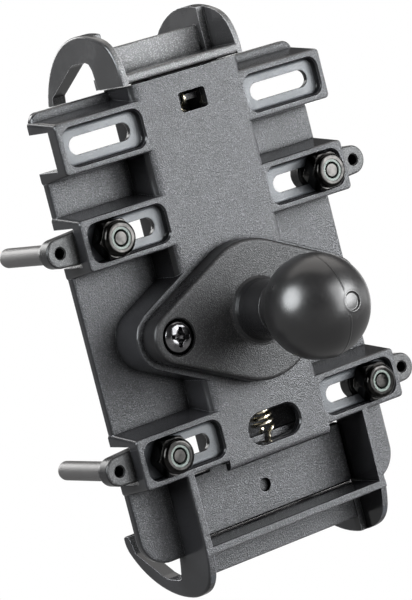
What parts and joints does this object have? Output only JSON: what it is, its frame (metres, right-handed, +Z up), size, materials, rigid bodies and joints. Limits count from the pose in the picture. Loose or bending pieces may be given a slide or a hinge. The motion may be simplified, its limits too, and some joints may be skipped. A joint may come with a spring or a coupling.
{
  "type": "phone handlebar mount",
  "caption": "Spring-loaded phone cradle with a sliding top jaw, hooked lower ends, adjustable side legs and a rubber ball on its back for a ball-and-socket arm.",
  "frame": {"origin": "centre of the ball", "axes": "+Z up the plate towards the sliding jaw, +Y from the ball towards the phone, +X to the right when looking along +Y"},
  "size_m": [0.0964, 0.079, 0.1388],
  "materials": {
    "shell_nylon": "fine pebble texture, dark grey-black",
    "jaw_nylon": "fine pebble texture, dark grey",
    "leg_nylon": "satin, dark grey-black",
    "base_plastic": "fine pebble texture, dark grey-black",
    "ball_rubber": "satin black",
    "sleeve_rubber": "smooth satin black",
    "black_steel": "glossy black oxide",
    "zinc_steel": "bright zinc plate",
    "spring_steel": "drawn wire, faint yellow passivation",
    "ring_nylon": "translucent pale green-white"
  },
  "bodies": {
    "cradle": {"back_shell": "shell_nylon", "front_plate": "shell_nylon", "front_plate_screws": "black_steel", "ball_base": "base_plastic", "ball_cover": "ball_rubber", "base_screws": "black_steel", "spring": "spring_steel"},
    "jaw": {"top_jaw": "jaw_nylon"},
    "left_upper_leg": {"left_upper_leg": "leg_nylon", "left_upper_sleeve": "sleeve_rubber", "left_upper_bolt": "zinc_steel", "left_upper_nut": "zinc_steel", "left_upper_nylon_ring": "ring_nylon", "left_upper_washer": "zinc_steel"},
    "right_upper_leg": {"right_upper_leg": "leg_nylon", "right_upper_sleeve": "sleeve_rubber", "right_upper_bolt": "zinc_steel", "right_upper_nut": "zinc_steel", "right_upper_nylon_ring": "ring_nylon", "right_upper_washer": "zinc_steel"},
    "left_lower_leg": {"left_lower_leg": "leg_nylon", "left_lower_sleeve": "sleeve_rubber", "left_lower_bolt": "zinc_steel", "left_lower_nut": "zinc_steel", "left_lower_nylon_ring": "ring_nylon", "left_lower_washer": "zinc_steel"},
    "right_lower_leg": {"right_lower_leg": "leg_nylon", "right_lower_sleeve": "sleeve_rubber", "right_lower_bolt": "zinc_steel", "right_lower_nut": "zinc_steel", "right_lower_nylon_ring": "ring_nylon", "right_lower_washer": "zinc_steel"}
  },
  "joints": [
    {"name": "jaw_slide", "type": "slide", "parent": "cradle", "child": "jaw", "axis": [0, 0, 1], "range_m": [0, 0.038], "stiffness_N_per_m": 100, "springref_m": -0.005, "deforming": ["spring"]},
    {"name": "left_upper_slide", "type": "slide", "parent": "cradle", "child": "left_upper_leg", "axis": [-1, 0, 0], "range_m": [-0.0112, 0.0009]},
    {"name": "right_upper_slide", "type": "slide", "parent": "cradle", "child": "right_upper_leg", "axis": [1, 0, 0], "range_m": [-0.0112, 0.0009]},
    {"name": "left_lower_slide", "type": "slide", "parent": "cradle", "child": "left_lower_leg", "axis": [-1, 0, 0], "range_m": [-0.0104, 0.0016]},
    {"name": "right_lower_slide", "type": "slide", "parent": "cradle", "child": "right_lower_leg", "axis": [1, 0, 0], "range_m": [-0.0104, 0.0016]}
  ]
}
